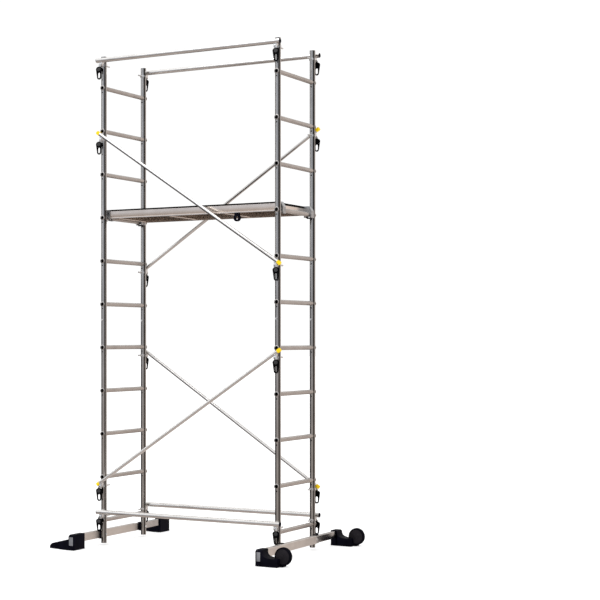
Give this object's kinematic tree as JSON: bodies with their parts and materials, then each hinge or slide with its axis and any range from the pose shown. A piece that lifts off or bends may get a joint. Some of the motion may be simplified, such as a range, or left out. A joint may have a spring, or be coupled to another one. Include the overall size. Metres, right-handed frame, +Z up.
{
  "type": "mobile scaffold tower",
  "caption": "Narrow aluminium access tower: two rung ladders braced by rails and diagonals, a platform, telescopic base beams with feet and tilt-on wheels, and pull-out lock pins.",
  "frame": {"origin": "centre of the box round the tower, on the floor", "axes": "+Z up, the long way; +X along the platform, from the plain feet to the wheeled feet; +Y from the front to the rear"},
  "size_m": [1.737, 1.131, 3.166],
  "materials": {
    "ladder_aluminium": "drawn tube, satin",
    "beam_aluminium": "drawn box tube, satin",
    "extension_aluminium": "drawn box tube, satin",
    "brace_aluminium": "drawn tube, bright",
    "deck_aluminium": "extruded, satin",
    "cast_aluminium": "die cast",
    "zinc": "zinc plated",
    "black_plastic": "moulded, fine grain",
    "handle_plastic": "moulded, half gloss",
    "yellow_plastic": "moulded",
    "grey_plastic": "moulded",
    "wheel_rubber": "moulded",
    "deck_board": "film-faced board"
  },
  "bodies": {
    "tower": {"left_lower_stiles": "ladder_aluminium", "left_lower_rungs": "ladder_aluminium", "left_upper_stiles": "ladder_aluminium", "left_upper_rungs": "ladder_aluminium", "left_beam": "beam_aluminium", "left_front_foot": "black_plastic", "right_lower_stiles": "ladder_aluminium", "right_lower_rungs": "ladder_aluminium", "right_upper_stiles": "ladder_aluminium", "right_upper_rungs": "ladder_aluminium", "right_beam": "beam_aluminium", "right_front_foot": "black_plastic", "joint_spigots": "ladder_aluminium", "splice_bolts": "zinc", "beam_brackets": "black_plastic", "beam_bolts": "zinc", "front_axle": "zinc", "deck_board": "deck_board", "deck_side_rails": "deck_aluminium", "deck_cross_members": "deck_aluminium", "deck_hooks": "cast_aluminium", "deck_clip": "black_plastic", "front_guardrail": "brace_aluminium", "rear_guardrail": "brace_aluminium", "front_base_rail": "brace_aluminium", "rear_base_rail": "brace_aluminium", "front_upper_diagonal": "brace_aluminium", "front_lower_diagonal": "brace_aluminium", "rear_upper_diagonal": "brace_aluminium", "rear_lower_diagonal": "brace_aluminium", "brace_brackets": "zinc", "rail_end_plugs": "black_plastic", "diagonal_end_caps": "yellow_plastic"},
    "left_extension": {"left_beam_extension": "extension_aluminium", "left_stop_bolt": "zinc", "left_rear_foot": "black_plastic"},
    "right_extension": {"right_beam_extension": "extension_aluminium", "right_stop_bolt": "zinc", "right_rear_foot": "black_plastic", "rear_axle": "zinc"},
    "front_wheel": {"front_wheel": "wheel_rubber"},
    "rear_wheel": {"rear_wheel": "wheel_rubber"},
    "left_latch": {"left_wind_latch": "black_plastic"},
    "right_latch": {"right_wind_latch": "black_plastic"},
    "front_guardrail_pin_left": {"front_guardrail_pin_left": "handle_plastic"},
    "front_guardrail_pin_right": {"front_guardrail_pin_right": "handle_plastic"},
    "rear_guardrail_pin_left": {"rear_guardrail_pin_left": "handle_plastic"},
    "rear_guardrail_pin_right": {"rear_guardrail_pin_right": "handle_plastic"},
    "front_base_rail_pin_left": {"front_base_rail_pin_left": "handle_plastic"},
    "front_base_rail_pin_right": {"front_base_rail_pin_right": "handle_plastic"},
    "rear_base_rail_pin_left": {"rear_base_rail_pin_left": "handle_plastic"},
    "rear_base_rail_pin_right": {"rear_base_rail_pin_right": "handle_plastic"},
    "front_upper_diagonal_pin_left": {"front_upper_diagonal_pin_left": "handle_plastic"},
    "front_upper_diagonal_pin_right": {"front_upper_diagonal_pin_right": "handle_plastic"},
    "front_lower_diagonal_pin_left": {"front_lower_diagonal_pin_left": "handle_plastic"},
    "front_lower_diagonal_pin_right": {"front_lower_diagonal_pin_right": "handle_plastic"},
    "rear_upper_diagonal_pin_left": {"rear_upper_diagonal_pin_left": "handle_plastic"},
    "rear_upper_diagonal_pin_right": {"rear_upper_diagonal_pin_right": "handle_plastic"},
    "rear_lower_diagonal_pin_left": {"rear_lower_diagonal_pin_left": "handle_plastic"},
    "rear_lower_diagonal_pin_right": {"rear_lower_diagonal_pin_right": "handle_plastic"}
  },
  "joints": [
    {"name": "left_extension_slide", "type": "slide", "parent": "tower", "child": "left_extension", "axis": [0, 1, 0], "range_m": [0, 0.3]},
    {"name": "right_extension_slide", "type": "slide", "parent": "tower", "child": "right_extension", "axis": [0, 1, 0], "range_m": [0, 0.3]},
    {"name": "front_wheel_spin", "type": "hinge", "parent": "tower", "child": "front_wheel", "pos_m": [0.8145, -0.5115, 0.062], "axis": [0, 1, 0], "continuous": true},
    {"name": "rear_wheel_spin", "type": "hinge", "parent": "right_extension", "child": "rear_wheel", "pos_m": [0.8145, 0.4995, 0.062], "axis": [0, 1, 0], "continuous": true},
    {"name": "left_latch_swing", "type": "hinge", "parent": "tower", "child": "left_latch", "pos_m": [-0.6165, 0.1705, 2.109], "axis": [0, -1, 0], "range_deg": [0, 80]},
    {"name": "right_latch_swing", "type": "hinge", "parent": "tower", "child": "right_latch", "pos_m": [0.6155, 0.1705, 2.109], "axis": [0, 1, 0], "range_deg": [0, 80]},
    {"name": "front_guardrail_pin_left_pull", "type": "slide", "parent": "tower", "child": "front_guardrail_pin_left", "axis": [0, -1, 0], "range_m": [0, 0.085]},
    {"name": "front_guardrail_pin_right_pull", "type": "slide", "parent": "tower", "child": "front_guardrail_pin_right", "axis": [0, -1, 0], "range_m": [0, 0.085]},
    {"name": "rear_guardrail_pin_left_pull", "type": "slide", "parent": "tower", "child": "rear_guardrail_pin_left", "axis": [0, 1, 0], "range_m": [0, 0.085]},
    {"name": "rear_guardrail_pin_right_pull", "type": "slide", "parent": "tower", "child": "rear_guardrail_pin_right", "axis": [0, 1, 0], "range_m": [0, 0.085]},
    {"name": "front_base_rail_pin_left_pull", "type": "slide", "parent": "tower", "child": "front_base_rail_pin_left", "axis": [0, -1, 0], "range_m": [0, 0.085]},
    {"name": "front_base_rail_pin_right_pull", "type": "slide", "parent": "tower", "child": "front_base_rail_pin_right", "axis": [0, -1, 0], "range_m": [0, 0.085]},
    {"name": "rear_base_rail_pin_left_pull", "type": "slide", "parent": "tower", "child": "rear_base_rail_pin_left", "axis": [0, 1, 0], "range_m": [0, 0.085]},
    {"name": "rear_base_rail_pin_right_pull", "type": "slide", "parent": "tower", "child": "rear_base_rail_pin_right", "axis": [0, 1, 0], "range_m": [0, 0.085]},
    {"name": "front_upper_diagonal_pin_left_pull", "type": "slide", "parent": "tower", "child": "front_upper_diagonal_pin_left", "axis": [0, -1, 0], "range_m": [0, 0.085]},
    {"name": "front_upper_diagonal_pin_right_pull", "type": "slide", "parent": "tower", "child": "front_upper_diagonal_pin_right", "axis": [0, -1, 0], "range_m": [0, 0.085]},
    {"name": "front_lower_diagonal_pin_left_pull", "type": "slide", "parent": "tower", "child": "front_lower_diagonal_pin_left", "axis": [0, -1, 0], "range_m": [0, 0.085]},
    {"name": "front_lower_diagonal_pin_right_pull", "type": "slide", "parent": "tower", "child": "front_lower_diagonal_pin_right", "axis": [0, -1, 0], "range_m": [0, 0.085]},
    {"name": "rear_upper_diagonal_pin_left_pull", "type": "slide", "parent": "tower", "child": "rear_upper_diagonal_pin_left", "axis": [0, 1, 0], "range_m": [0, 0.085]},
    {"name": "rear_upper_diagonal_pin_right_pull", "type": "slide", "parent": "tower", "child": "rear_upper_diagonal_pin_right", "axis": [0, 1, 0], "range_m": [0, 0.085]},
    {"name": "rear_lower_diagonal_pin_left_pull", "type": "slide", "parent": "tower", "child": "rear_lower_diagonal_pin_left", "axis": [0, 1, 0], "range_m": [0, 0.085]},
    {"name": "rear_lower_diagonal_pin_right_pull", "type": "slide", "parent": "tower", "child": "rear_lower_diagonal_pin_right", "axis": [0, 1, 0], "range_m": [0, 0.085]}
  ]
}
